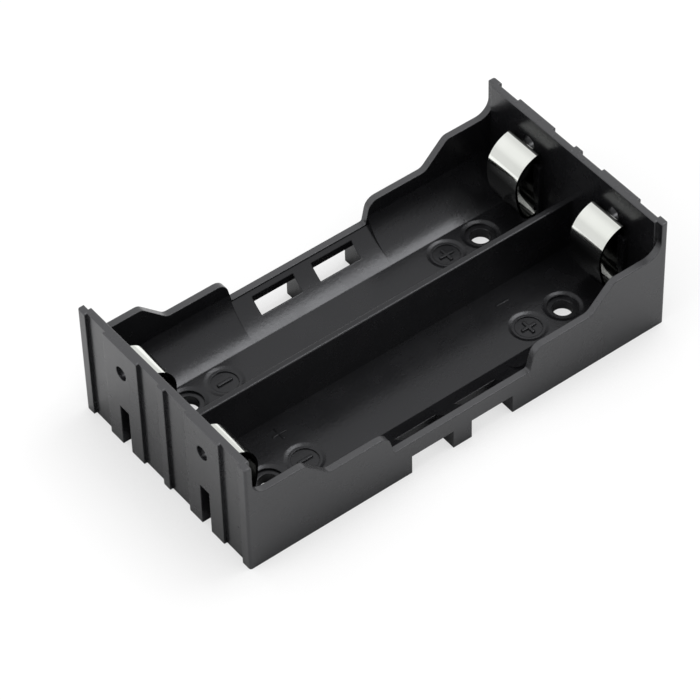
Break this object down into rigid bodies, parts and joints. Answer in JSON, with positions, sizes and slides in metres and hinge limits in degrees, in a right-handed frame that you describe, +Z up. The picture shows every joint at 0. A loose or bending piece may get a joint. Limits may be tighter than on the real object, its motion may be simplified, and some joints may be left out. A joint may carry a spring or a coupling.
{
  "type": "battery holder",
  "caption": "Open black plastic holder with side-by-side bays for long cylindrical cells, bent leaf contacts at both ends and screw holes in the floor.",
  "frame": {"origin": "centre of the base, on the face that rests on a panel", "axes": "+X along the cells, towards the end with the + discs, +Y across the bays, +Z up"},
  "size_m": [0.077, 0.04, 0.021],
  "materials": {
    "moulded_plastic": "satin moulded black plastic",
    "plated_leaf": "bright nickel plate on spring steel"
  },
  "bodies": {
    "root": {"housing": "moulded_plastic", "contact_back_left": "plated_leaf", "contact_back_right": "plated_leaf", "contact_front_left": "plated_leaf", "contact_front_right": "plated_leaf"}
  },
  "joints": []
}
